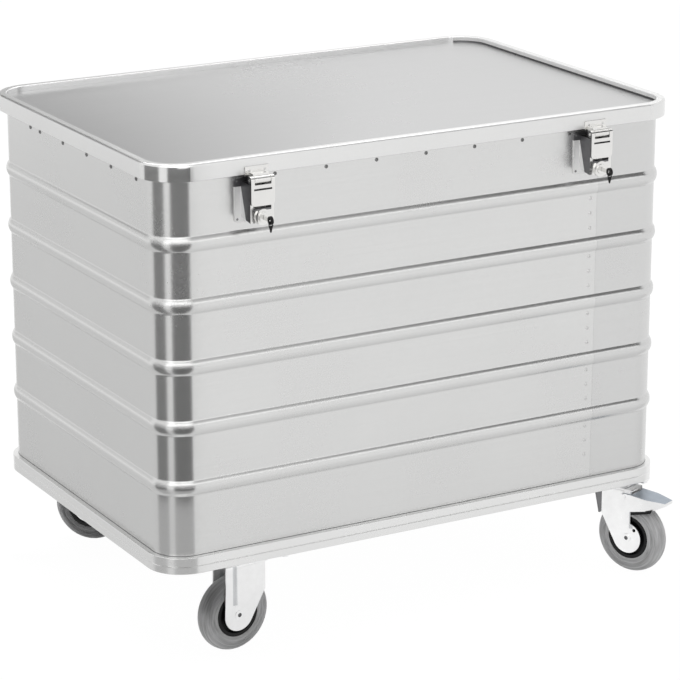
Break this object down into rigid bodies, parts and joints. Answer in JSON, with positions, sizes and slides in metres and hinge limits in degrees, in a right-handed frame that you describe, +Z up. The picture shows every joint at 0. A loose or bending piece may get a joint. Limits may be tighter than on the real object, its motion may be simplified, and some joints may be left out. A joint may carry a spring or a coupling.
{
  "type": "lockable transport cart",
  "caption": "Beaded aluminium box cart with a recessed hinged lid, hasp locks with keys, a base frame and swivel castors, some with brake pedals, for moving goods under lock.",
  "frame": {"origin": "On the floor under the middle of the box.", "axes": "+X along the long front to the right, +Y from the front with the locks to the hinges, +Z up."},
  "size_m": [0.938, 0.7282, 0.805],
  "materials": {
    "sheet_aluminium": "mill finish, satin",
    "extruded_aluminium": "anodised, satin",
    "lock_nickel": "nickel plated",
    "zinc_steel": "bright zinc plated",
    "wheel_plastic": "moulded, satin",
    "key_plastic": "moulded, satin",
    "grey_rubber": "smooth, matte"
  },
  "bodies": {
    "cart": {"wall_sheet_left": "sheet_aluminium", "wall_sheet_right": "sheet_aluminium", "base_frame": "extruded_aluminium", "floor_panel": "sheet_aluminium", "cross_channels": "extruded_aluminium", "castor_bolts": "zinc_steel", "top_frame": "extruded_aluminium", "hinge_leaves_body": "zinc_steel", "hinge_pins": "zinc_steel", "lock_case_left": "lock_nickel", "lock_case_right": "lock_nickel", "castor_plate_fl": "zinc_steel", "castor_plate_fr": "zinc_steel", "castor_plate_rr": "zinc_steel", "castor_plate_rl": "zinc_steel"},
    "lid": {"lid_rim": "extruded_aluminium", "lid_panel": "sheet_aluminium", "hinge_leaves_lid": "zinc_steel", "hasp_bracket_left": "lock_nickel", "hasp_bracket_right": "lock_nickel"},
    "hasp_left": {"hasp_left": "lock_nickel"},
    "plug_left": {"lock_plug_left": "lock_nickel"},
    "bolt_left": {"lock_bolt_left": "lock_nickel"},
    "key_left": {"key_left": "lock_nickel", "key_head_left": "key_plastic"},
    "key_ring_left": {"key_ring_left": "key_plastic"},
    "hasp_right": {"hasp_right": "lock_nickel"},
    "plug_right": {"lock_plug_right": "lock_nickel"},
    "bolt_right": {"lock_bolt_right": "lock_nickel"},
    "key_right": {"key_right": "lock_nickel", "key_head_right": "key_plastic"},
    "key_ring_right": {"key_ring_right": "key_plastic"},
    "castor_fl": {"fork_fl": "zinc_steel", "axle_fl": "zinc_steel"},
    "wheel_fl": {"wheel_centre_fl": "wheel_plastic", "tyre_fl": "grey_rubber"},
    "castor_fr": {"fork_fr": "zinc_steel", "axle_fr": "zinc_steel"},
    "wheel_fr": {"wheel_centre_fr": "wheel_plastic", "tyre_fr": "grey_rubber"},
    "pedal_fr": {"brake_pedal_fr": "zinc_steel"},
    "castor_rr": {"fork_rr": "zinc_steel", "axle_rr": "zinc_steel"},
    "wheel_rr": {"wheel_centre_rr": "wheel_plastic", "tyre_rr": "grey_rubber"},
    "pedal_rr": {"brake_pedal_rr": "zinc_steel"},
    "castor_rl": {"fork_rl": "zinc_steel", "axle_rl": "zinc_steel"},
    "wheel_rl": {"wheel_centre_rl": "wheel_plastic", "tyre_rl": "grey_rubber"}
  },
  "joints": [
    {"name": "lid_open", "type": "hinge", "parent": "cart", "child": "lid", "pos_m": [0, 0.321, 0.776], "axis": [-1, 0, 0], "range_deg": [0, 100]},
    {"name": "hasp_swing_left", "type": "hinge", "parent": "lid", "child": "hasp_left", "pos_m": [-0.303, -0.3316, 0.773], "axis": [-1, 0, 0], "range_deg": [0, 110]},
    {"name": "key_turn_left", "type": "hinge", "parent": "cart", "child": "plug_left", "pos_m": [-0.303, -0.3392, 0.716], "axis": [0, 1, 0], "range_deg": [0, 90]},
    {"name": "bolt_throw_left", "type": "slide", "parent": "cart", "child": "bolt_left", "axis": [1, 0, 0], "range_m": [0, 0.00707]},
    {"name": "key_out_left", "type": "slide", "parent": "plug_left", "child": "key_left", "axis": [0, -1, 0], "range_m": [0, 0.025]},
    {"name": "ring_swing_left", "type": "hinge", "parent": "key_left", "child": "key_ring_left", "pos_m": [-0.303, -0.3607, 0.7144], "axis": [-1, 0, 0], "range_deg": [-15, 60]},
    {"name": "hasp_swing_right", "type": "hinge", "parent": "lid", "child": "hasp_right", "pos_m": [0.303, -0.3316, 0.773], "axis": [-1, 0, 0], "range_deg": [0, 110]},
    {"name": "key_turn_right", "type": "hinge", "parent": "cart", "child": "plug_right", "pos_m": [0.303, -0.3392, 0.716], "axis": [0, 1, 0], "range_deg": [0, 90]},
    {"name": "bolt_throw_right", "type": "slide", "parent": "cart", "child": "bolt_right", "axis": [1, 0, 0], "range_m": [0, 0.00707]},
    {"name": "key_out_right", "type": "slide", "parent": "plug_right", "child": "key_right", "axis": [0, -1, 0], "range_m": [0, 0.025]},
    {"name": "ring_swing_right", "type": "hinge", "parent": "key_right", "child": "key_ring_right", "pos_m": [0.303, -0.3607, 0.7144], "axis": [-1, 0, 0], "range_deg": [-15, 60]},
    {"name": "swivel_fl", "type": "hinge", "parent": "cart", "child": "castor_fl", "pos_m": [-0.2845, -0.258, 0.1477], "axis": [0, 0, 1], "continuous": true},
    {"name": "roll_fl", "type": "hinge", "parent": "castor_fl", "child": "wheel_fl", "pos_m": [-0.3242, -0.26288, 0.0625], "axis": [0.1219, -0.9925, 0], "continuous": true},
    {"name": "swivel_fr", "type": "hinge", "parent": "cart", "child": "castor_fr", "pos_m": [0.399, -0.258, 0.1477], "axis": [0, 0, 1], "continuous": true},
    {"name": "roll_fr", "type": "hinge", "parent": "castor_fr", "child": "wheel_fr", "pos_m": [0.41527, -0.29454, 0.0625], "axis": [0.9135, 0.4067, 0], "continuous": true},
    {"name": "brake_fr", "type": "hinge", "parent": "castor_fr", "child": "pedal_fr", "pos_m": [0.41202, -0.28723, 0.134], "axis": [0.9135, 0.4067, 0], "range_deg": [0, 8]},
    {"name": "swivel_rr", "type": "hinge", "parent": "cart", "child": "castor_rr", "pos_m": [0.399, 0.258, 0.1477], "axis": [0, 0, 1], "continuous": true},
    {"name": "roll_rr", "type": "hinge", "parent": "castor_rr", "child": "wheel_rr", "pos_m": [0.41527, 0.29454, 0.0625], "axis": [-0.9135, 0.4067, 0], "continuous": true},
    {"name": "brake_rr", "type": "hinge", "parent": "castor_rr", "child": "pedal_rr", "pos_m": [0.41202, 0.28723, 0.134], "axis": [-0.9135, 0.4067, 0], "range_deg": [0, 8]},
    {"name": "swivel_rl", "type": "hinge", "parent": "cart", "child": "castor_rl", "pos_m": [-0.2845, 0.258, 0.1477], "axis": [0, 0, 1], "continuous": true},
    {"name": "roll_rl", "type": "hinge", "parent": "castor_rl", "child": "wheel_rl", "pos_m": [-0.31278, 0.28628, 0.0625], "axis": [-0.7071, -0.7071, 0], "continuous": true}
  ],
  "couplings": [
    {"joint": "bolt_throw_left", "follows": "key_turn_left", "m_per_rad": 0.0045015},
    {"joint": "bolt_throw_right", "follows": "key_turn_right", "m_per_rad": 0.0045015}
  ]
}
